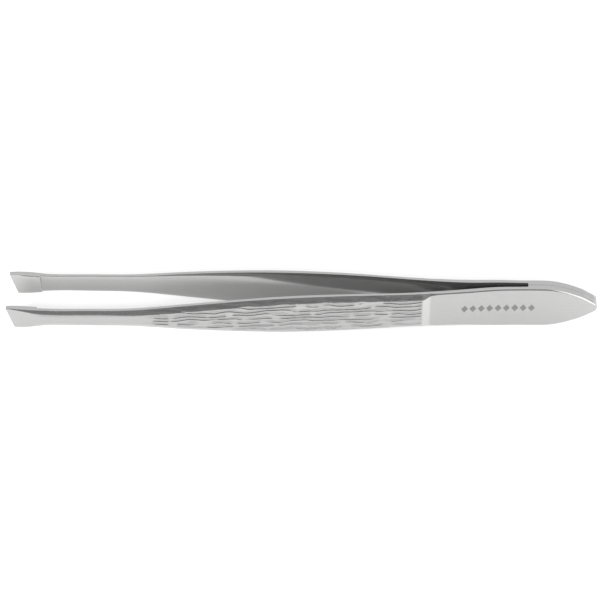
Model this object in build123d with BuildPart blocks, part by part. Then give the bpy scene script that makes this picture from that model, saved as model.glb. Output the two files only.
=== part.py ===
"""Slant tweezers: two stamped stainless arms, spot-welded at the tail.

Frame, in millimetres: X runs along the tweezers, tips at -X and welded tail at +X.
Y is the direction the jaws open and close, with the front arm on -Y.
Z runs across the width of the arms, up from the long edges they stand on.
The origin is the middle of the bounding box's underside.
"""

from build123d import *
import os

# ---- overall size ---------------------------------------------------------------
overall_length = 90.0
tail_width = 8.6
tip_x = -overall_length / 2
tail_x = overall_length / 2
mid_z = tail_width / 2

# ---- stations along the length --------------------------------------------------
ogive_x = 36.5  # the tail's straight sides end and its pointed end begins
straight_x = 33.2  # the tail's straight sides begin
slot_x = 34.3  # the welded pad ends here and the arms part
panel_x = 19.6  # thin spring panel begins, at the foot of the ramp
grip_end_x = 18.4  # thick grip ends, at the top of the ramp
neck_x = -26.0  # grip has narrowed to the slender neck
heel_x = -39.9  # gripping pad starts to rise from the neck
pad_x = -40.35  # gripping pad is at full height
taper_x = -41.2  # outer face starts to slope down to the thin tip

# ---- thickness of the strip, front to back --------------------------------------
tail_thickness = 1.0
panel_thickness = 0.65
mid_panel_thickness = 0.68
grip_thickness = 0.92
neck_thickness = 0.90
tip_thickness = 0.62

# ---- how far each inner face stands from the middle plane -----------------------
slot_gap = 0.35  # the inner face steps back this far at the slot end
panel_gap = 1.05
waist_gap = 1.14
grip_gap = 2.08
shoulder_gap = 2.66
neck_gap = 3.16
heel_gap = 3.20
pad_gap = 2.97  # closer than the tip, so the two pads meet nearly flat when squeezed
tip_gap = 3.06

# ---- widths -----------------------------------------------------------------------
grip_width = 8.15
waist_width = 7.6
neck_width = 3.5
tip_width = 4.6
slant = 0.95  # the tip's lower corner sits this far behind its upper one

# ---- edges -------------------------------------------------------------------------
bevel_wide = 1.05  # long bevels on the outer face, measured across the width
bevel_deep = 0.47
edge_r = 0.16  # tumbled rounding of the smooth tail and spring panel

# ---- spot welds --------------------------------------------------------------------
nugget_r = 1.3
nugget_deep = 0.35  # how far a nugget reaches into each arm
nugget_taper = 30  # a nugget is a shallow lens, thickest at its middle
nugget_centres = ((36.6, mid_z), (40.2, mid_z))


def long_edge(side, corner):
    """One long edge of the outline, from a tip corner to the tail's straight side."""
    half_widths = (
        (-42.3, 2.10),
        (heel_x, 1.83),
        (-33.0, neck_width / 2),
        (neck_x, 1.87),
        (-21.6, 2.30),
        (-15.5, 3.00),
        (-9.5, 3.55),
        (-3.4, 3.94),
        (2.7, grip_width / 2),
        (8.8, 4.02),
        (18.75, waist_width / 2),
        (27.0, 4.08),
        (straight_x, tail_width / 2),
    )
    points = [(x, mid_z + side * half) for x, half in half_widths]
    return Spline(corner, *points, tangents=[(1, -0.13 * side), (1, 0)])


def ogive(side):
    """One flank of the tail's pointed end."""
    flank = ((39.3, 3.86), (41.6, 2.93), (43.1, 2.08), (44.35, 1.10))
    points = [(x, mid_z + side * half) for x, half in flank]
    shoulder = (ogive_x, mid_z + side * tail_width / 2)
    return Spline(shoulder, *points, (tail_x, mid_z), tangents=[(1, 0), (0, -side)])


# ---- the front arm, whole, before it is divided ---------------------------------
# The side shape gives the strip its thickness and its bow. The outline, crossed
# with it, gives the shape seen square to the arm.
with BuildPart() as arm_blank:
    with BuildSketch(Plane.XY):
        with BuildLine():
            # Inner face: flat weld pad, relief at the slot end, bowed arm, raised pad.
            Line((tail_x, 0), (slot_x, 0))
            Line((slot_x, 0), (slot_x, -slot_gap))
            inner_panel = Spline(
                (slot_x, -slot_gap),
                (27.1, -0.54),
                (panel_x, -panel_gap),
            )
            inner_blade = Spline(
                inner_panel @ 1,
                (8.8, -1.78),
                (2.7, -grip_gap),
                (-9.5, -shoulder_gap),
                (-18.0, -2.98),
                (neck_x, -neck_gap),
                (heel_x, -heel_gap),
                tangents=[inner_panel % 1, (-1, 0)],
            )
            heel = Spline(
                inner_blade @ 1,
                (pad_x, -pad_gap),
                tangents=[(-1, 0), (-1, 0)],
            )
            Line(heel @ 1, (tip_x, -tip_gap))
            # Outer face, from the thin tip back to the tail.
            tip_edge = Line((tip_x, -tip_gap), (tip_x, -tip_gap - tip_thickness))
            outer_blade = Spline(
                tip_edge @ 1,
                (taper_x, -heel_gap - 0.83),
                (-35.0, -heel_gap - neck_thickness),
                (neck_x, -neck_gap - neck_thickness),
                (-9.5, -shoulder_gap - grip_thickness),
                (2.7, -grip_gap - grip_thickness),
                (grip_end_x, -waist_gap - grip_thickness),
            )
            Line(outer_blade @ 1, (panel_x, -panel_gap - panel_thickness))
            outer_panel = Spline(
                (panel_x, -panel_gap - panel_thickness),
                (27.1, -0.54 - mid_panel_thickness),
                (slot_x, -tail_thickness),
                tangents=[(1, 0.09), (1, 0)],
            )
            Line(outer_panel @ 1, (tail_x, -tail_thickness))
            Line((tail_x, -tail_thickness), (tail_x, 0))
        make_face()
    extrude(amount=tail_width)

    with BuildSketch(Plane.XZ):
        with BuildLine():
            upper_edge = long_edge(1, (tip_x, mid_z + tip_width / 2))
            Line(upper_edge @ 1, (ogive_x, tail_width))
            ogive(1)
            ogive(-1)
            lower_edge = long_edge(-1, (tip_x + slant, mid_z - tip_width / 2 + 0.08))
            Line(lower_edge @ 1, (ogive_x, 0))
            Line(lower_edge @ 0, upper_edge @ 0)
        make_face()
    extrude(amount=tail_width, both=True, mode=Mode.INTERSECT)

# ---- front arm, in the three lengths that move differently ------------------------
# The blade carries the grip, the neck and the slanted pad. Its outer face is
# bevelled along both long edges so it is comfortable between finger and thumb.
with BuildPart() as front_arm_blade:
    add(arm_blank.part)
    split(bisect_by=Plane.YZ.offset(panel_x), keep=Keep.BOTTOM)
    outer_face = front_arm_blade.faces().sort_by(SortBy.AREA)[-2:].sort_by(Axis.Y)[0]
    long_edges = outer_face.edges().sort_by(SortBy.LENGTH)[-2:]
    chamfer(long_edges, length=bevel_wide, length2=bevel_deep, reference=outer_face)

# The spring is the thin smooth panel between the ramp and the slot end. It is the
# only length of the arm that bends in use.
with BuildPart() as front_arm_spring:
    add(arm_blank.part)
    split(bisect_by=Plane.YZ.offset(panel_x), keep=Keep.TOP)
    split(bisect_by=Plane.YZ.offset(slot_x), keep=Keep.BOTTOM)
    outer_face = front_arm_spring.faces().sort_by(SortBy.AREA)[-2:].sort_by(Axis.Y)[0]
    panel_edges = outer_face.edges().sort_by(SortBy.LENGTH)[-2:]
    fillet(panel_edges, edge_r)

# The tail is the flat pad where the two arms are welded face to face.
with BuildPart() as front_arm_tail:
    add(arm_blank.part)
    split(bisect_by=Plane.YZ.offset(slot_x), keep=Keep.TOP)
    outer_face = front_arm_tail.faces().sort_by(Axis.Y)[0]
    fillet(outer_face.edges().filter_by(lambda edge: edge.center().X > slot_x + 0.1), edge_r)
    # Room for the weld nuggets, which lie half in each arm.
    with BuildSketch(Plane.XZ):
        with Locations(*nugget_centres):
            Circle(nugget_r)
    extrude(amount=nugget_deep, taper=nugget_taper, mode=Mode.SUBTRACT)

# ---- back arm: the same stamping, turned to face the first ------------------------
with BuildPart() as back_arm_blade:
    mirror(front_arm_blade.part, about=Plane.XZ)

with BuildPart() as back_arm_spring:
    mirror(front_arm_spring.part, about=Plane.XZ)

with BuildPart() as back_arm_tail:
    mirror(front_arm_tail.part, about=Plane.XZ)

# ---- spot welds: two lens-shaped nuggets of fused steel ---------------------------
with BuildPart() as weld_nugget_fore:
    with BuildSketch(Plane.XZ):
        with Locations(nugget_centres[0]):
            Circle(nugget_r)
    extrude(amount=nugget_deep, both=True, taper=nugget_taper)

with BuildPart() as weld_nugget_aft:
    with BuildSketch(Plane.XZ):
        with Locations(nugget_centres[1]):
            Circle(nugget_r)
    extrude(amount=nugget_deep, both=True, taper=nugget_taper)

# ---- one file for each piece --------------------------------------------------------
pieces = {
    "front_arm_tail": front_arm_tail,
    "front_arm_spring": front_arm_spring,
    "front_arm_blade": front_arm_blade,
    "back_arm_tail": back_arm_tail,
    "back_arm_spring": back_arm_spring,
    "back_arm_blade": back_arm_blade,
    "weld_nugget_fore": weld_nugget_fore,
    "weld_nugget_aft": weld_nugget_aft,
}
os.makedirs("parts", exist_ok=True)
for name, piece in pieces.items():
    piece.part.label = name
    export_step(piece.part, f"parts/{name}.step")
    print(name, "solids", len(piece.part.solids()), "mm3", round(piece.part.volume, 2))
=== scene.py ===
# %% [markdown]
# # Slant tweezers
# A pair of eyebrow tweezers is two strips of stainless steel, stamped, bent and
# welded together at the tail. Nearly everything that the eye reads is in how the
# strip's section changes along its length: flat tail, thin springy panel, thick
# bevelled grip with a coined wood-grain, slender neck and a slanted pad.
# The CAD frame already holds the true sizes, so it is loaded first and measured.

# %% Load the frame
import math

import bmesh
import bpy
import numpy as np
from mathutils import Matrix, Vector
from mathutils.bvhtree import BVHTree
from numpy.polynomial import Chebyshev


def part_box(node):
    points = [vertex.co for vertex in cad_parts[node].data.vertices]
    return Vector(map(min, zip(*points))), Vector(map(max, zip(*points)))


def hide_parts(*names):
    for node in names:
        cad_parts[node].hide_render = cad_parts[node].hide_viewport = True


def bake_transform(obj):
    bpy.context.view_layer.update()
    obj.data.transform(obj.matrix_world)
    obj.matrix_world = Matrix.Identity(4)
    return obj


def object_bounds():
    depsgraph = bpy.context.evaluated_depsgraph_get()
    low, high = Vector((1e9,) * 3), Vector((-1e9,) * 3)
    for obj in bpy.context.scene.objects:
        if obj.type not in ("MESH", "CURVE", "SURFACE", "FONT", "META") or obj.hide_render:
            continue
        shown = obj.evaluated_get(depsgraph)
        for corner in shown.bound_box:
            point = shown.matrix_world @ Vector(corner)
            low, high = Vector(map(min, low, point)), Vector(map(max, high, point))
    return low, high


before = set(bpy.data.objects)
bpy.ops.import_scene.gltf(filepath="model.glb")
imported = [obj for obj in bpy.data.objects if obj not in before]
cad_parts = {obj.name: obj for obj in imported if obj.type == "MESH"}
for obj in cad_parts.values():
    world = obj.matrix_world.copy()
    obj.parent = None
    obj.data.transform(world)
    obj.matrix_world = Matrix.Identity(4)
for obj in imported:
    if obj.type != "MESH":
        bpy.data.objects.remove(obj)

MM = 0.001
cad_low, cad_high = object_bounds()
blade_low, blade_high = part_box("front_arm_blade")
tail_low, tail_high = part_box("front_arm_tail")
tip_x, panel_x = blade_low.x, blade_high.x
slot_x, end_x = tail_low.x, tail_high.x
mid_z = tail_high.z / 2
print(f"length {(end_x - tip_x) / MM:.2f} mm, width {tail_high.z / MM:.2f} mm")

# %% [markdown]
# ## Measuring the strip
# The arm's bow, thickness and outline could be typed in again, but then the looks
# could drift from the part. A ray shot at the CAD nodes finds the inner face, the
# outer face and the long edge at any place along the arm. A Chebyshev series
# through a few such hits is smooth, so highlights run along the steel without
# the facets of the CAD's triangles.


# %% Rays that find the CAD's surfaces
def skin_of(*nodes):
    """One search tree over the triangles of several CAD nodes."""
    points, faces = [], []
    for node in nodes:
        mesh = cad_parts[node].data
        first = len(points)
        points += [v.co.copy() for v in mesh.vertices]
        faces += [[first + i for i in p.vertices] for p in mesh.polygons]
    return BVHTree.FromPolygons(points, faces)


front_skin = skin_of("front_arm_tail", "front_arm_spring", "front_arm_blade")
OUTSIDE = 20 * MM  # rays at the outer face and long edge start this far out
BEHIND = 1 * MM  # rays at the inner face start this far past the middle plane


def touch(start, direction):
    """Where a ray first meets the front arm."""
    return front_skin.ray_cast(Vector(start), Vector(direction))[0]


def inner_at(x):
    """How far the front arm's inner face stands from the middle plane."""
    return -touch((x, BEHIND, mid_z), (0, -1, 0)).y


def outer_at(x):
    """How far its outer face stands from the middle plane."""
    return -touch((x, -OUTSIDE, mid_z), (0, 1, 0)).y


def smooth_fit(measure, start, stop, degree):
    """A smooth curve through what measure finds between two places."""
    return Chebyshev.interpolate(np.vectorize(measure), degree, domain=[start, stop])


heel_x = tip_x + 5.1 * MM  # the gripping pad starts to rise from the neck
pad_x = tip_x + 4.5 * MM  # the pad is at full height
pad_end_x = tip_x + 4.6 * MM  # the pad ends here in a short, crisp step
HEEL_STEP = 0.18 * MM  # length of that step
ramp_x = panel_x - 1.2 * MM  # the thick grip starts to ramp down to the thin panel
ogive_x = slot_x + 2.2 * MM  # the tail's straight sides end
HAIR = 0.02 * MM  # keeps a ray just inside an end
mid_tip_x = tip_x + 0.9 * MM  # where the slanted tip crosses the arm's middle line

inner_fit = smooth_fit(inner_at, heel_x, slot_x - HAIR, degree=9)
pad_fit = smooth_fit(inner_at, tip_x + 1.5 * MM, pad_x, degree=1)
outer_fit = smooth_fit(outer_at, mid_tip_x, ramp_x, degree=11)
panel_fit = smooth_fit(outer_at, panel_x, slot_x, degree=4)
tail_thick = outer_at(ogive_x)
print("strip at the tail", round(tail_thick / MM, 3), "mm")


# %% [markdown]
# ## The rules of the section
# Seen end on, the strip is a flat bar. Its outer face has a bevel along both long
# edges: wide and ground on the grip, crowned on the neck, a mere tumbled rounding
# on the panel and tail, and nothing at the tip. A few small functions of the
# place along the arm say all of that, and the mesh is then drawn from them.


# %% Section rules
def smooth(x, start, stop):
    """0 before start, 1 after stop, and a soft S between."""
    t = np.clip((np.asarray(x) - start) / (stop - start), 0, 1)
    return t * t * (3 - 2 * t)


KNOT_SPREAD = np.array([-0.3, -0.1, 0.1, 0.3]) * MM  # a knot is averaged over this length


def line(x, *knots):
    """Straight runs between (place, value) knots, softened a little at each knot."""
    at, values = zip(*knots)
    return np.mean([np.interp(np.asarray(x) + shift, at, values) for shift in KNOT_SPREAD], axis=0)


def inner_depth(x):
    """The inner face, with the raised pad at the tip and the flat weld at the tail."""
    x = np.asarray(x)
    bow = inner_fit(np.clip(x, heel_x, slot_x - HAIR))
    pad = pad_fit(np.minimum(x, pad_end_x))
    arm = bow + (pad - bow) * (1 - smooth(x, pad_end_x, pad_end_x + HEEL_STEP))
    return arm * (1 - smooth(x, slot_x - 0.05 * MM, slot_x + 0.03 * MM))


RAMP_ROUND = 0.12  # share of the ramp's slope that is rounded off into its two ends


def outer_depth(x):
    """The outer face: thick blade, ramp, thin panel and flat tail."""
    x = np.asarray(x)
    blade = outer_fit(np.minimum(x, ramp_x))
    panel = np.where(x < slot_x, panel_fit(np.clip(x, panel_x, slot_x)), tail_thick)
    t = np.clip((x - ramp_x) / (panel_x - ramp_x), 0, 1)
    soft = RAMP_ROUND * t * t * (3 - 2 * t) + (1 - RAMP_ROUND) * t
    return blade + (panel - blade) * soft


def edge_at(x):
    """Half of the arm's width, from its middle line to its upper long edge."""
    within = -float(inner_depth(x)) - 0.2 * MM  # just inside the strip's thickness
    return touch((x, within, OUTSIDE), (0, 0, -1)).z - mid_z


edge_fit = smooth_fit(edge_at, tip_x + HAIR, ogive_x, degree=22)
GRIP_BEVEL = (1.05 * MM, 0.47 * MM)  # across the width, and through the thickness
NECK_BEVEL = (0.86 * MM, 0.45 * MM)
SOFT_EDGE = 0.19 * MM  # the tumbled rounding of panel and tail, both ways
CORNER = 0.02 * MM  # radius left between bevel and face on the grip
bevel_x = tip_x + 3.2 * MM  # behind the tip the bevel is about half its size
full_bevel_x = tip_x + 5.8 * MM  # and here it is as large as on the neck
neck_x = tip_x + 15.5 * MM  # the slender neck ends
grip_x = tip_x + 24 * MM  # the grip has its full, sharply ground bevel
soft_x = panel_x + 1.3 * MM  # from here on only the tumbled rounding is left


def bevel_wide(x):
    """How far the bevel reaches in from the long edge, across the width."""
    return line(
        x,
        (tip_x, 0.05 * MM),
        (bevel_x, 0.42 * MM),
        (full_bevel_x, NECK_BEVEL[0]),
        (neck_x, NECK_BEVEL[0]),
        (grip_x, GRIP_BEVEL[0]),
        (ramp_x, GRIP_BEVEL[0]),
        (panel_x, 0.36 * MM),
        (soft_x, SOFT_EDGE),
    )


def bevel_deep(x):
    """How far it reaches down from the outer face, through the thickness."""
    return line(
        x,
        (tip_x, 0.05 * MM),
        (bevel_x, 0.22 * MM),
        (full_bevel_x, NECK_BEVEL[1]),
        (neck_x, NECK_BEVEL[1]),
        (grip_x, GRIP_BEVEL[1]),
        (ramp_x, GRIP_BEVEL[1]),
        (panel_x, 0.20 * MM),
        (soft_x, SOFT_EDGE),
    )


def bevel_crown(x):
    """How far the bevel bulges past a straight cut: round on neck and soft edges."""
    return line(
        x,
        (tip_x, 0.01 * MM),
        (tip_x + 7 * MM, 0.05 * MM),
        (neck_x, 0.05 * MM),
        (grip_x, 0),
        (ramp_x, 0),
        (soft_x, 0.033 * MM),
    )


def bevel_corner(x):
    """The radius left where the bevel runs out into the face."""
    return line(
        x,
        (tip_x, 0.02 * MM),
        (tip_x + 4 * MM, 0.06 * MM),
        (tip_x + 6 * MM, 0.30 * MM),
        (neck_x, 0.20 * MM),
        (grip_x, CORNER),
    )


for place in (tip_x, heel_x, neck_x, 0, ramp_x, panel_x, slot_x - 1 * MM, ogive_x):
    print(
        f"x {place / MM:6.2f}  gap {float(inner_depth(place)) / MM:5.2f}"
        f"  outer {float(outer_depth(place)) / MM:5.2f}  half width {edge_fit(place) / MM:5.2f}"
    )

# %% [markdown]
# ## Where the rings go
# The arm is drawn as rings of points, one behind the other. Rings stand close
# together where something small happens, such as the grain of the grip or the
# edge of the ramp, and far apart on plain stretches. Round the pointed tail the
# outline turns, so there each ring stands square to the outline: that keeps the
# rounded edge equally wide all the way round the point.


# %% Outline of the pointed tail
def tail_reach(angle):
    """From the middle of the tail to its outline, at an angle from straight up."""
    start = Vector((ogive_x, -0.6 * MM, mid_z))  # inside the front arm's tail
    return (touch(start, (math.sin(angle), 0, math.cos(angle))) - start).length


reach_fit = smooth_fit(tail_reach, 0, math.pi / 2, degree=14)


RING_STEPS = (  # from this place on, rings stand this far apart
    (tip_x + 0.05 * MM, 0.3 * MM),
    (tip_x + 3.4 * MM, 0.15 * MM),
    (pad_end_x - 0.06 * MM, 0.04 * MM),  # the pad's step
    (pad_end_x + HEEL_STEP + 0.06 * MM, 0.12 * MM),
    (heel_x + 0.3 * MM, 0.35 * MM),
    (tip_x + 19 * MM, 0.15 * MM),  # the grain
    (ramp_x - 0.2 * MM, 0.08 * MM),  # the ramp
    (panel_x + 0.2 * MM, 0.2 * MM),
    (panel_x + 2 * MM, 0.6 * MM),
    (slot_x - 0.2 * MM, 0.025 * MM),  # the end of the slot
    (slot_x + 0.15 * MM, 0.4 * MM),
)
POINT_RINGS = 46  # round the pointed tail


def stretch(start, stop, step):
    """Evenly spaced places from start up to, but not including, stop."""
    count = max(1, round((stop - start) / step))
    return np.linspace(start, stop, count, endpoint=False)


stops = [start for start, step in RING_STEPS[1:]] + [ogive_x]
places = np.concatenate([stretch(a, b, step) for (a, step), b in zip(RING_STEPS, stops)])
angles = np.linspace(0, math.pi / 2, POINT_RINGS)
reach = reach_fit(angles)
point_x = ogive_x + reach * np.sin(angles)
point_w = reach * np.cos(angles)
point_w[-1] = 0

outline_x = np.concatenate([places, point_x])
outline_w = np.concatenate([edge_fit(np.clip(places, tip_x + HAIR, ogive_x)), point_w])
along_x = np.gradient(outline_x)
along_w = np.gradient(outline_w)
length = np.hypot(along_x, along_w)
square = smooth(outline_x, slot_x, ogive_x)  # 0: inset straight across, 1: inset square
inward_x = along_w / length * square
inward_w = -(1 + (along_x / length - 1) * square)
inward_x[-1], inward_w[-1] = -1, 0
print("rings", len(outline_x))

# %% [markdown]
# ## One arm's plain skin
# Each ring runs round the section: inner face, upper side, upper bevel, outer
# face, lower bevel, lower side. The grain of the grip must stop where the ground
# bevel cuts it, so every point of the outer side carries two depths, that of the
# flat face and that of the bevel's cut, and the shallower one wins. Both are kept
# as attributes for the Geometry Nodes that coin the grain afterwards.

# %% Rings of points
BREAK = 0.07 * MM  # rounding of the inner long edges
WORN = 0.035 * MM  # tiny worn facet between side and bevel
inner_row = np.linspace(-1, 1, 9)  # points across the inner face
bevel_row = np.linspace(0, 1, 15)[:-1]  # down one bevel
face_row = np.linspace(1, -1, 97)  # across the outer face, close enough for the grain


def soft_min(a, b, width):
    """The smaller of two depths, with a small radius where they cross."""
    blend = np.clip(0.5 + 0.5 * (b - a) / width, 0, 1)
    return b + (a - b) * blend - width * blend * (1 - blend)


def ring(i):
    """One section, as rows of x, depth, height, depth of the face, depth of the cut."""
    x, w = outline_x[i], outline_w[i]
    near, far = float(inner_depth(x)), float(outer_depth(x))
    wide, deep, crown, corner = (
        float(rule(x)) for rule in (bevel_wide, bevel_deep, bevel_crown, bevel_corner)
    )
    shoulder = far - deep
    soft = min(BREAK, 0.25 * (shoulder - near))  # a thin side is rounded less
    worn = min(WORN, 0.2 * wide)

    def inset(amount):
        """Place and height of a point this far in from the outline."""
        return x + inward_x[i] * amount, max(w + inward_w[i] * amount, 0)

    def cut(amount):
        """Depth of the bevel's cut there."""
        t = np.clip(amount / wide, 0, 1)
        return shoulder + deep * amount / wide + crown * 4 * t * (1 - t)

    upper = []
    for amount, depth in ((0.3 * soft, near + 0.3 * soft), (0, near + soft)):
        upper.append((*inset(amount), depth, depth, depth))
    for depth in np.linspace(near + soft, shoulder - worn, 4)[1:]:
        upper.append((*inset(0), depth, depth, depth))
    for t in bevel_row:
        amount = worn + t * (wide - worn)
        depth = soft_min(far, cut(amount), corner)
        upper.append((*inset(amount), depth, far, cut(amount)))
    rim_x, rim_w = inset(soft)
    inner = [(rim_x, v * rim_w, near, near, near) for v in inner_row]
    face_x, face_w = inset(wide)
    face = []
    for v in face_row:
        limit = cut(wide + (1 - abs(v)) * face_w)
        face.append((face_x, v * face_w, soft_min(far, limit, corner), far, limit))
    lower = [(px, -pz, *depths) for px, pz, *depths in reversed(upper)]
    return inner + upper + face + lower


rings = np.array([ring(i) for i in range(len(outline_x))])
print("rings", rings.shape[0], "points in each", rings.shape[1])

# %% [markdown]
# ## The slanted tip
# The tip is ground off at a slant, so that a hair can be gripped with the corner
# or with the whole edge. Sliding each point of the last few millimetres along the
# arm, more at the lower edge than at the upper one, gives the slant and keeps the
# rings evenly spaced. A last, slightly smaller ring makes the broken edge.

# %% Slant the tip and close it
SLANT = 0.95 * MM  # the lower corner sits this far behind the upper one
SLANT_END = pad_end_x - 0.15 * MM  # behind here nothing slides
TIP_BREAK = 0.05 * MM  # the last ring is this much narrower
TIP_THIN = 0.82  # and this share as thick
cap = rings[0].copy()
middle = (cap[:, 2].min() + cap[:, 2].max()) / 2
cap[:, 0] = tip_x
cap[:, 1] *= 1 - TIP_BREAK / outline_w[0]
cap[:, 2] = middle + (cap[:, 2] - middle) * TIP_THIN
rings = np.concatenate([cap[None], rings])
half_width = np.concatenate([outline_w[:1], outline_w])
lowness = (1 - np.clip(rings[:, :, 1] / np.maximum(half_width, 1e-6)[:, None], -1, 1)) / 2
nearness = 1 - np.clip((rings[:, :, 0] - tip_x) / (SLANT_END - tip_x), 0, 1)
rings[:, :, 0] += SLANT * lowness * nearness
tip_edge = rings[0, :, 0] / MM
print(f"upper corner at {tip_edge.min():.2f} mm, lower corner at {tip_edge.max():.2f} mm")


# %% [markdown]
# ## Skinning the arm
# A real arm is one strip with no joins, so its rings are joined into one closed
# skin. The arm's lengths differ in finish: coined grip, ground ramp and pad, plain
# rolled inside. The ramp and pads are also painted brighter, on the ramp a painted
# highlight. They could be separate pieces or faces with materials of their own, but
# then a hard line would show at each border. Instead every point keeps a few
# numbers of its own, and the node tree and the material read them.

# %% What each point knows about its finish and painted brightness
GRAIN_FROM = (tip_x + 20 * MM, tip_x + 23.5 * MM)  # the grain comes up over this length
GRAIN_TO = (ramp_x - 0.3 * MM, ramp_x + 0.1 * MM)
RAMP_FROM = (ramp_x - 0.25 * MM, ramp_x + 0.15 * MM)
RAMP_TO = (panel_x - 0.3 * MM, panel_x + 0.1 * MM)
PAD_TO = (pad_end_x - 0.04 * MM, pad_end_x + 0.06 * MM)
INSIDE_TO = (0.05 * MM, 0.12 * MM)  # above the inner face
PAD_BRIGHT = 0.2  # the pads' painted brightening, as a share of the ramp's


def finish_marks(points):
    """For each point: the two depths, and how grained, painted brighter or inside it is."""
    x, depth, face_depth, cut_depth = points[:, 0], points[:, 2], points[:, 3], points[:, 4]
    outer_side = face_depth - inner_depth(x) > 0.5 * MM  # not the inner face or the sides
    on_ramp = smooth(x, *RAMP_FROM) * (1 - smooth(x, *RAMP_TO)) * outer_side
    on_pad = (1 - smooth(x, *PAD_TO)) * (depth - inner_depth(x) < 0.1 * MM)
    return {
        "face_depth": face_depth,
        "cut_depth": cut_depth,
        "grain": smooth(x, *GRAIN_FROM) * (1 - smooth(x, *GRAIN_TO)) * outer_side,
        # painted brightening: a painted highlight on the ramp, and a little on the pads
        "polish": on_ramp + PAD_BRIGHT * on_pad,
        "inside": 1 - smooth(depth - inner_depth(x), *INSIDE_TO),
    }


# %% Skin one arm
def arm_mesh(name, side):
    """A closed skin over the rings; side is -1 for the front arm, 1 for the back."""
    count, around = rings.shape[:2]
    points = rings.reshape(-1, 5)
    verts = np.column_stack([points[:, 0], side * points[:, 2], points[:, 1] + mid_z])
    mesh = bpy.data.meshes.new(name)
    quads = []
    for r in range(count - 1):
        here, ahead = r * around, (r + 1) * around
        for k in range(around):
            after = (k + 1) % around
            quads.append((here + k, here + after, ahead + after, ahead + k))
    mesh.from_pydata(verts.tolist(), [], quads + [tuple(range(around))])
    for label, values in finish_marks(points).items():
        mark = mesh.attributes.new(label, "FLOAT", "POINT")
        mark.data.foreach_set("value", values.astype(np.float32))
    work = bmesh.new()
    work.from_mesh(mesh)
    bmesh.ops.remove_doubles(work, verts=work.verts, dist=1e-8)
    bmesh.ops.dissolve_degenerate(work, edges=work.edges, dist=1e-9)
    bmesh.ops.recalc_face_normals(work, faces=work.faces)
    loose = [e for e in work.edges if len(e.link_faces) != 2]
    print(name, "faces", len(work.faces), "open edges", len(loose))
    work.to_mesh(mesh)
    work.free()
    arm = bpy.data.objects.new(name, mesh)
    bpy.context.collection.objects.link(arm)
    return arm


arms = {"front": arm_mesh("front_arm", -1), "back": arm_mesh("back_arm", 1)}

# %% [markdown]
# ## Coining the grain
# A die presses a wood-grain into the grip: wavy grooves, a little under a
# millimetre apart, each two or three millimetres long before it breaks off and the
# next begins. It could be a bump map, but grooves this size catch light on their
# walls and change the edge of the bevel, so they are real geometry. A Geometry
# Nodes tree works them out from a cosine across the arm, bent by one noise and
# broken up by another, and a third dents the steel between them. The seed is
# fixed, so the steel comes out the same each time.


# %% A small kit for building node trees
class Tree:
    """Adds nodes and wires them, so a formula reads on one line."""

    def __init__(self, name):
        self.group = bpy.data.node_groups.new(name, "GeometryNodeTree")
        self.nodes, self.links = self.group.nodes, self.group.links

    def socket(self, name, kind, out=False):
        way = "OUTPUT" if out else "INPUT"
        return self.group.interface.new_socket(name=name, in_out=way, socket_type=kind)

    def wire(self, value, target):
        if hasattr(value, "is_output"):
            self.links.new(value, target)
        else:
            target.default_value = value

    def node(self, kind, **settings):
        made = self.nodes.new(kind)
        for key, value in settings.items():
            setattr(made, key, value)
        return made

    def math(self, operation, *values):
        made = self.node("ShaderNodeMath", operation=operation)
        for value, target in zip(values, made.inputs):
            self.wire(value, target)
        return made.outputs[0]

    def vector(self, x=0.0, y=0.0, z=0.0):
        made = self.node("ShaderNodeCombineXYZ")
        for value, target in zip((x, y, z), made.inputs):
            self.wire(value, target)
        return made.outputs[0]

    def noise(self, vector, seed, detail=1.0):
        made = self.node("ShaderNodeTexNoise", noise_dimensions="4D")
        self.wire(vector, made.inputs["Vector"])
        self.wire(seed, made.inputs["W"])
        self.wire(detail, made.inputs["Detail"])
        made.inputs["Scale"].default_value = 1.0
        return made.outputs[0]

    def step(self, value, low, high):
        made = self.node("ShaderNodeMapRange", interpolation_type="SMOOTHSTEP")
        for key, item in (("Value", value), ("From Min", low), ("From Max", high)):
            self.wire(item, made.inputs[key])
        return made.outputs[0]

    def attribute(self, name):
        made = self.node("GeometryNodeInputNamedAttribute", data_type="FLOAT")
        made.inputs["Name"].default_value = name
        return made.outputs["Attribute"]


def apply_nodes(obj, group, values):
    """Runs a node group on an object and leaves a plain mesh behind."""
    modifier = obj.modifiers.new("nodes", "NODES")
    modifier.node_group = group
    for item in group.interface.items_tree:
        if item.item_type == "SOCKET" and item.in_out == "INPUT" and item.name in values:
            modifier[item.identifier] = values[item.name]
    obj.update_tag()
    bpy.context.view_layer.update()
    depsgraph = bpy.context.evaluated_depsgraph_get()
    made = bpy.data.meshes.new_from_object(obj.evaluated_get(depsgraph), depsgraph=depsgraph)
    obj.modifiers.remove(modifier)
    obj.data = made
    made.name = obj.name
    return obj


# %% The grain as a node tree
WANDER = 2.2  # how many rows a groove may stray
WALL_TOP, WALL_FOOT = -0.75, 0.70  # where a groove's wall starts and ends on the cosine
GAP, WHOLE = 0.30, 0.47  # noise below the first leaves no groove, above the second a full one
DENTS = 0.40  # depth of the dents, as a share of a groove's
DRIFT = (0.5, 0.4)  # how fast the rows stray, along the arm and across it
ROW_APART = 5.3  # step in the noise from row to row, so that each breaks off elsewhere
DENTED = (2.2, 1.6)  # how fine the dents are, along and across


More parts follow.
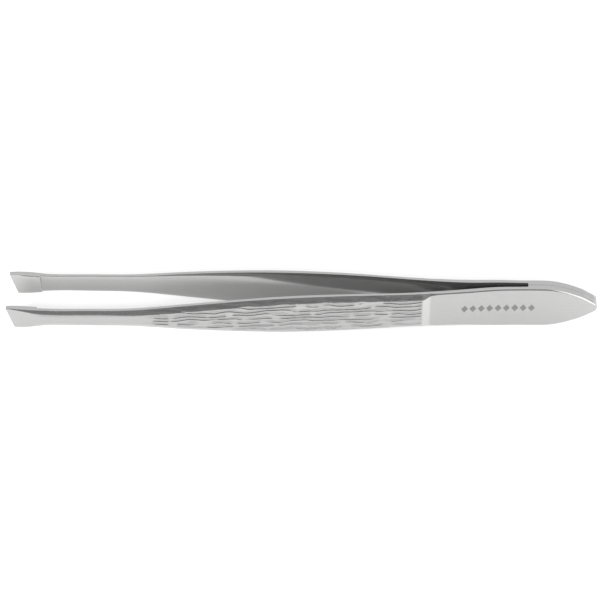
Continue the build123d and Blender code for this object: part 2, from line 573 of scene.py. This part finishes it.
def grain_tree():
    """Pushes the outer face in along wavy, broken rows, but never through the bevel."""
    tree = Tree("coined_grain")
    tree.socket("Geometry", "NodeSocketGeometry")
    for name in ("Row pitch", "Groove length", "Groove depth", "Corner", "Outward", "Seed"):
        tree.socket(name, "NodeSocketFloat")
    tree.socket("Steel", "NodeSocketMaterial")
    tree.socket("Geometry", "NodeSocketGeometry", out=True)
    given = tree.node("NodeGroupInput").outputs
    place = tree.node("ShaderNodeSeparateXYZ")
    tree.wire(tree.node("GeometryNodeInputPosition").outputs[0], place.inputs[0])
    along, height = place.outputs[0], place.outputs[2]

    rows = tree.math("DIVIDE", height, given["Row pitch"])
    lengths = tree.math("DIVIDE", along, given["Groove length"])
    def spread(fine):
        """The place in rows and groove lengths, scaled for a noise."""
        return tree.vector(
            tree.math("MULTIPLY", lengths, fine[0]), 0.0, tree.math("MULTIPLY", rows, fine[1])
        )

    wander = tree.math("SUBTRACT", tree.noise(spread(DRIFT), given["Seed"], 1.0), 0.5)
    rows = tree.math("ADD", rows, tree.math("MULTIPLY", wander, WANDER))
    wave = tree.math("COSINE", tree.math("MULTIPLY", rows, 2 * math.pi))
    groove = tree.step(wave, WALL_TOP, WALL_FOOT)

    row_number = tree.math("ROUND", rows)
    dashes = tree.vector(lengths, tree.math("MULTIPLY", row_number, ROW_APART), 0.0)
    broken = tree.step(tree.noise(dashes, given["Seed"], 1.0), GAP, WHOLE)
    dented = tree.math("MULTIPLY", tree.noise(spread(DENTED), given["Seed"], 2.0), DENTS)
    dash = tree.math("MULTIPLY", tree.math("MULTIPLY", groove, broken), tree.attribute("grain"))
    cut = tree.math("ADD", dash, tree.math("MULTIPLY", dented, tree.attribute("grain")))
    sunk = tree.math("MULTIPLY", cut, given["Groove depth"])

    face, bevel = tree.attribute("face_depth"), tree.attribute("cut_depth")
    coined = tree.math("SMOOTH_MIN", tree.math("SUBTRACT", face, sunk), bevel, given["Corner"])
    plain = tree.math("SMOOTH_MIN", face, bevel, given["Corner"])
    shift = tree.math("MULTIPLY", tree.math("SUBTRACT", coined, plain), given["Outward"])

    move = tree.node("GeometryNodeSetPosition")
    tree.wire(given["Geometry"], move.inputs["Geometry"])
    tree.wire(tree.vector(0.0, shift, 0.0), move.inputs["Offset"])
    # the stored groove mask darkens the groove floors in the material: painted shade in the
    # recesses
    keep = tree.node("GeometryNodeStoreNamedAttribute", data_type="FLOAT", domain="POINT")
    tree.wire(move.outputs[0], keep.inputs["Geometry"])
    keep.inputs["Name"].default_value = "groove"
    tree.wire(dash, keep.inputs["Value"])
    real = tree.node("GeometryNodeRealizeInstances")
    tree.wire(keep.outputs[0], real.inputs[0])
    finish = tree.node("GeometryNodeSetMaterial")
    tree.wire(real.outputs[0], finish.inputs["Geometry"])
    tree.wire(given["Steel"], finish.inputs["Material"])
    tree.wire(finish.outputs[0], tree.node("NodeGroupOutput").inputs[0])
    return tree.group


# %% [markdown]
# ## Satin steel
# Tweezers are tumbled and then brushed lengthways. Each brush line is finer than
# can be seen, but together they stretch the highlights and make them slightly
# uneven. The finish is a metal with a long streaky noise in its roughness and in
# a very shallow bump. It isn't the same everywhere, and attributes on the mesh say
# where: the inner faces keep the smoother finish of the rolled strip, the floors of
# the grooves are painted darker as painted shade in the recesses, and the ramp and
# the pads are painted brighter, on the ramp a painted highlight.


# %% Steel finishes
METALLIC = 0.92
UNEVEN = 0.03  # roughness varies by this much, in brush lines and again in soft clouds
ROLLED = 0.42  # the inner faces keep the strip's rolled finish, this much smoother
BRUSH_TINT = (0.96, 1.03)  # the darkest and palest brush line, as a share of the colour
# painted shade and brightening: groove floors darker by the first share, ramp and pads brighter by
# the second, on the ramp a painted highlight
GROOVE_SHADE_TINT, BRIGHT_TINT = 0.80, 1.25
RELIEF = 0.5  # strength of the bump


def steel(name, colour, roughness, streak):
    """Brushed stainless steel; streak is the depth of its lines."""
    made = bpy.data.materials.new(name)
    made.use_nodes = True
    nodes, links = made.node_tree.nodes, made.node_tree.links
    shader = nodes["Principled BSDF"]
    shader.inputs["Metallic"].default_value = METALLIC
    place = nodes.new("ShaderNodeTexCoord").outputs["Object"]

    def lines(length, width, detail):
        """Noise drawn out into streaks along the arm."""
        scale = nodes.new("ShaderNodeMapping")
        scale.inputs["Scale"].default_value = (1 / length, 1 / width, 1 / width)
        links.new(place, scale.inputs["Vector"])
        noise = nodes.new("ShaderNodeTexNoise")
        noise.inputs["Scale"].default_value = 1.0
        noise.inputs["Detail"].default_value = detail
        links.new(scale.outputs[0], noise.inputs["Vector"])
        return noise.outputs[0]

    def remap(value, low, high):
        """Spreads the middle of a noise over a range."""
        span = nodes.new("ShaderNodeMapRange")
        span.inputs["From Min"].default_value = 0.25
        span.inputs["From Max"].default_value = 0.75
        span.inputs["To Min"].default_value = low
        span.inputs["To Max"].default_value = high
        links.new(value, span.inputs["Value"])
        return span.outputs[0]

    def attribute(label):
        """One of the numbers kept on the points; 0 on a mesh without it."""
        made = nodes.new("ShaderNodeAttribute")
        made.attribute_name = label
        return made.outputs["Fac"]

    brushed = lines(length=9 * MM, width=0.11 * MM, detail=3)
    cloudy = lines(length=5 * MM, width=2.2 * MM, detail=2)
    speckled = lines(length=0.32 * MM, width=0.16 * MM, detail=2)
    rough = nodes.new("ShaderNodeMath")
    rough.operation = "ADD"
    links.new(remap(brushed, roughness - UNEVEN, roughness + UNEVEN), rough.inputs[0])
    links.new(remap(cloudy, -UNEVEN, UNEVEN), rough.inputs[1])
    rolled = nodes.new("ShaderNodeMapRange")
    rolled.inputs["To Min"].default_value = 1.0
    rolled.inputs["To Max"].default_value = ROLLED
    links.new(attribute("inside"), rolled.inputs["Value"])
    finished = nodes.new("ShaderNodeMath")
    finished.operation = "MULTIPLY"
    links.new(rough.outputs[0], finished.inputs[0])
    links.new(rolled.outputs[0], finished.inputs[1])
    links.new(finished.outputs[0], shader.inputs["Roughness"])

    def mix(factor, first, second):
        """From the first colour to the second as the factor rises."""
        made = nodes.new("ShaderNodeMix")
        made.data_type = "RGBA"
        links.new(factor, made.inputs["Factor"])
        for value, target in ((first, made.inputs["A"]), (second, made.inputs["B"])):
            if hasattr(value, "is_output"):
                links.new(value, target)
            else:
                target.default_value = (*value, 1)
        return made.outputs["Result"]

    dark, pale = ([c * share for c in colour] for share in BRUSH_TINT)
    tinted = mix(remap(brushed, 0, 1), dark, pale)
    # painted shade: the groove floors darker
    tinted = mix(attribute("groove"), tinted, [c * GROOVE_SHADE_TINT for c in colour])
    # painted brightening of ramp and pads, on the ramp a painted highlight
    tinted = mix(attribute("polish"), tinted, [c * BRIGHT_TINT for c in colour])
    links.new(tinted, shader.inputs["Base Color"])
    bump = nodes.new("ShaderNodeBump")
    bump.inputs["Distance"].default_value = streak
    bump.inputs["Strength"].default_value = RELIEF
    relief = nodes.new("ShaderNodeMath")
    relief.operation = "ADD"
    links.new(brushed, relief.inputs[0])
    links.new(speckled, relief.inputs[1])
    links.new(relief.outputs[0], bump.inputs["Height"])
    links.new(bump.outputs[0], shader.inputs["Normal"])
    return made


satin_steel = steel("satin_steel", (0.465, 0.465, 0.462), roughness=0.24, streak=0.001 * MM)
weld_steel = steel("weld_steel", (0.42, 0.40, 0.38), roughness=0.5, streak=0.004 * MM)
etched_steel = steel("etched_steel", (0.27, 0.27, 0.268), roughness=0.5, streak=0.003 * MM)
print("finishes", satin_steel.name, weld_steel.name, etched_steel.name)

# %% [markdown]
# ## Two grips from one die
# Both arms come from the same stamping, but no two grips show the grain alike. The
# same tree runs on both, with the same sizes and another seed. It leaves a plain
# mesh behind, and the steel's smooth shading stops at the edges that stay crisp.

# %% Coin both grips
GRAIN = {
    "Row pitch": 0.86 * MM,
    "Groove length": 2.3 * MM,
    "Groove depth": 0.08 * MM,
    "Corner": CORNER,
    "Steel": satin_steel,
}
SHARP = math.radians(38)  # edges that turn more than this stay crisp
grain_group = grain_tree()
for seed, (which, arm) in enumerate(arms.items()):
    outward = -1.0 if which == "front" else 1.0
    apply_nodes(arm, grain_group, {**GRAIN, "Outward": outward, "Seed": 4.0 + 9.0 * seed})
    arm.data.shade_smooth()
    arm.data.set_sharp_from_angle(angle=SHARP)
    print(arm.name, "triangles", sum(len(p.vertices) - 2 for p in arm.data.polygons))

# %% [markdown]
# ## An etched row
# The smooth outside of panel and tail is where such tweezers carry a small etched
# line of decoration. Here it is a plain row of lozenges. Etching is only microns deep and
# shows by its dull, darker surface, so each one is a thin plate sunk nearly flush.
# They are all the same shape, so a Geometry Nodes tree sets them along a line and
# drops each one on the steel with a ray, turned to lie flat wherever the panel
# curves.


# %% The row as a node tree
ETCH_THICK = 0.04 * MM  # half of it stands in the steel
EDGE_SLOPE = 0.96  # the top of a lozenge is this much smaller than its foot


def lozenge_tree():
    """A row of flat lozenges, each dropped on the surface by a ray."""
    tree = Tree("etched_row")
    tree.socket("Geometry", "NodeSocketGeometry")
    tree.socket("Surface", "NodeSocketObject")
    tree.socket("Count", "NodeSocketInt")
    tree.socket("Start", "NodeSocketVector")
    tree.socket("Pitch", "NodeSocketVector")
    tree.socket("Half width", "NodeSocketFloat")
    tree.socket("Half height", "NodeSocketFloat")
    tree.socket("Steel", "NodeSocketMaterial")
    tree.socket("Geometry", "NodeSocketGeometry", out=True)
    given = tree.node("NodeGroupInput").outputs

    row = tree.node("GeometryNodeMeshLine")
    tree.wire(given["Count"], row.inputs["Count"])
    tree.wire(given["Start"], row.inputs["Start Location"])
    tree.wire(given["Pitch"], row.inputs["Offset"])
    surface = tree.node("GeometryNodeObjectInfo", transform_space="ORIGINAL")
    tree.wire(given["Surface"], surface.inputs["Object"])
    ray = tree.node("GeometryNodeRaycast")
    tree.wire(surface.outputs["Geometry"], ray.inputs["Target Geometry"])
    ray.inputs["Ray Direction"].default_value = (0, 1, 0)
    drop = tree.node("GeometryNodeSetPosition")
    tree.wire(row.outputs["Mesh"], drop.inputs["Geometry"])
    tree.wire(ray.outputs["Hit Position"], drop.inputs["Position"])

    lozenge = tree.node("GeometryNodeMeshCone")
    lozenge.inputs["Vertices"].default_value = 4
    lozenge.inputs["Radius Top"].default_value = EDGE_SLOPE
    lozenge.inputs["Radius Bottom"].default_value = 1.0
    lozenge.inputs["Depth"].default_value = 1.0
    sink = tree.node("GeometryNodeTransform")
    tree.wire(lozenge.outputs["Mesh"], sink.inputs["Geometry"])
    sink.inputs["Translation"].default_value = (0, 0, -0.5)
    lay = tree.node("FunctionNodeAlignRotationToVector", axis="Z")
    tree.wire(ray.outputs["Hit Normal"], lay.inputs["Vector"])
    place = tree.node("GeometryNodeInstanceOnPoints")
    tree.wire(drop.outputs[0], place.inputs["Points"])
    tree.wire(sink.outputs[0], place.inputs["Instance"])
    tree.wire(lay.outputs["Rotation"], place.inputs["Rotation"])
    size = tree.vector(given["Half width"], given["Half height"], ETCH_THICK)
    tree.wire(size, place.inputs["Scale"])

    real = tree.node("GeometryNodeRealizeInstances")
    tree.wire(place.outputs[0], real.inputs[0])
    finish = tree.node("GeometryNodeSetMaterial")
    tree.wire(real.outputs[0], finish.inputs["Geometry"])
    tree.wire(given["Steel"], finish.inputs["Material"])
    tree.wire(finish.outputs[0], tree.node("NodeGroupOutput").inputs[0])
    return tree.group


# %% Etch the front arm
ROW_COUNT = 9
ROW_START, ROW_END = panel_x + 5.2 * MM, slot_x + 0.7 * MM
HALF_WIDTH, HALF_HEIGHT = 0.42, 0.8 * MM  # of a lozenge: a share of the pitch, and a height
etched_row = bpy.data.objects.new("etched_row", bpy.data.meshes.new("etched_row"))
bpy.context.collection.objects.link(etched_row)
row_pitch = (ROW_END - ROW_START) / (ROW_COUNT - 1)
apply_nodes(
    etched_row,
    lozenge_tree(),
    {
        "Surface": arms["front"],
        "Count": ROW_COUNT,
        "Start": (ROW_START, -10 * MM, mid_z),
        "Pitch": (row_pitch, 0, 0),
        "Half width": HALF_WIDTH * row_pitch,
        "Half height": HALF_HEIGHT,
        "Steel": etched_steel,
    },
)
print("etched row", len(etched_row.data.vertices), "points")

# %% [markdown]
# ## The arms over the frame
# Squeezed tweezers bend almost only in the thin panel and keep their shape
# elsewhere, so the frame has three rigid bodies. A skin cut at their borders would
# open there, so each arm stays one whole skin, and the CAD nodes of its tail,
# spring and blade are hidden. The welds lie hidden between the tails and keep their
# CAD shape, with a rougher steel.

# %% Put the looks in place of the frame's arms
for which, arm in arms.items():
    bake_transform(arm)
    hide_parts(f"{which}_arm_tail", f"{which}_arm_spring", f"{which}_arm_blade")
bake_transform(etched_row)
for node in ("weld_nugget_fore", "weld_nugget_aft"):
    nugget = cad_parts[node]
    nugget.data.materials.clear()
    nugget.data.materials.append(weld_steel)

# %% [markdown]
# ## Floor and light
# The tweezers stand on a plain white table in even white light. Polished steel
# shows its surroundings more than itself, so the surroundings do the modelling. The
# white table close in front makes the flat outer faces pale. An upright dark card
# further out, out of sight of the camera, gives the bevels their dark line, and a
# bright card beyond the tail draws the white line along the edge of its point. A
# softbox in front lights the table but is hidden from reflections.


# %% Studio
def plain_material(name, grey, glow):
    """Matt card or table top, with a little light of its own."""
    made = bpy.data.materials.new(name)
    made.use_nodes = True
    shader = made.node_tree.nodes["Principled BSDF"]
    shader.inputs["Base Color"].default_value = (grey, grey, grey, 1)
    shader.inputs["Roughness"].default_value = 0.9
    shader.inputs["Emission Color"].default_value = (1, 1, 1, 1)
    shader.inputs["Emission Strength"].default_value = glow
    return made


def sheet(name, corners, material):
    """One flat four-cornered sheet of the studio."""
    mesh = bpy.data.meshes.new(name)
    mesh.from_pydata(corners, [], [(0, 1, 2, 3)])
    mesh.materials.append(material)
    made = bpy.data.objects.new(name, mesh)
    bpy.context.collection.objects.link(made)
    return made


TABLE = 1.5  # half of the table's side
floor_z = cad_low.z
table_corners = [
    (-TABLE, -TABLE, floor_z),
    (TABLE, -TABLE, floor_z),
    (TABLE, TABLE, floor_z),
    (-TABLE, TABLE, floor_z),
]
sheet("floor", table_corners, plain_material("white_table", 0.8, glow=0.14))
CARD_AWAY, CARD_HIGH = 17 * MM, 50 * MM
CARD_START, CARD_SPLIT, CARD_END = -0.4, 50 * MM, 50 * MM + 0.09  # dark up to the split


def card(name, start, end, glow):
    """An upright card in front, seen only as a reflection in the steel."""
    corners = [
        (start, -CARD_AWAY, floor_z),
        (end, -CARD_AWAY, floor_z),
        (end, -CARD_AWAY, CARD_HIGH),
        (start, -CARD_AWAY, CARD_HIGH),
    ]
    made = sheet(name, corners, plain_material(name, 0.02, glow))
    made.visible_camera = False
    made.visible_diffuse = False
    made.visible_shadow = False


card("dark_card", CARD_START, CARD_SPLIT, glow=0.19)
card("light_card", CARD_SPLIT, CARD_END, glow=2.6)

DAYLIGHT = 1.01  # even white light from all round
world = bpy.data.worlds.new("studio")
world.use_nodes = True
sky = world.node_tree.nodes["Background"]
sky.inputs["Color"].default_value = (1, 1, 1, 1)
sky.inputs["Strength"].default_value = DAYLIGHT
bpy.context.scene.world = world


def softbox(name, place, aim, size, power):
    """A rectangular light that neither the camera nor the steel sees."""
    light = bpy.data.lights.new(name, "AREA")
    light.shape = "RECTANGLE"
    light.size, light.size_y = size
    light.energy = power
    made = bpy.data.objects.new(name, light)
    made.location = place
    made.rotation_euler = (Vector(aim) - Vector(place)).to_track_quat("-Z", "Y").to_euler()
    made.visible_camera = False
    made.visible_glossy = False
    bpy.context.collection.objects.link(made)


softbox("front", place=(0.0, -0.46, 0.40), aim=(0, 0, 0), size=(0.5, 0.3), power=3.7)
print("table, two cards and one softbox; daylight", DAYLIGHT)

# %% [markdown]
# ## Camera
# The tweezers are seen from in front and about fifty degrees up, nearly square to
# their length, through a long lens that keeps the far arm nearly as long as the near
# one.

# %% Camera
AZIMUTH, ELEVATION, ROLL = 1.8, 50.5, -1.0
DISTANCE = 380 * MM
LENS, SENSOR = 148.9, 36.0
AIM_LEFT, AIM_UP = 0.34, 0.19  # millimetres off the middle of the tweezers
a, e = math.radians(AZIMUTH), math.radians(ELEVATION)
back = Vector((math.sin(a) * math.cos(e), -math.cos(a) * math.cos(e), math.sin(e)))
right = Vector((math.cos(a), math.sin(a), 0))
up = back.cross(right)
target = Vector((0, 0, mid_z)) - right * AIM_LEFT * MM + up * AIM_UP * MM
camera_data = bpy.data.cameras.new("camera")
camera_data.lens, camera_data.sensor_width = LENS, SENSOR
camera_data.clip_start, camera_data.clip_end = 0.01, 20
camera = bpy.data.objects.new("camera", camera_data)
camera.location = target + back * DISTANCE
turn = back.to_track_quat("Z", "Y").to_matrix().to_4x4()
roll = Matrix.Rotation(math.radians(ROLL), 4, "Z")
camera.matrix_world = Matrix.Translation(camera.location) @ turn @ roll
bpy.context.collection.objects.link(camera)
bpy.context.scene.camera = camera
bpy.context.scene.view_settings.view_transform = "Standard"
print(f"camera {ELEVATION} degrees up, {DISTANCE / MM:.0f} mm away")
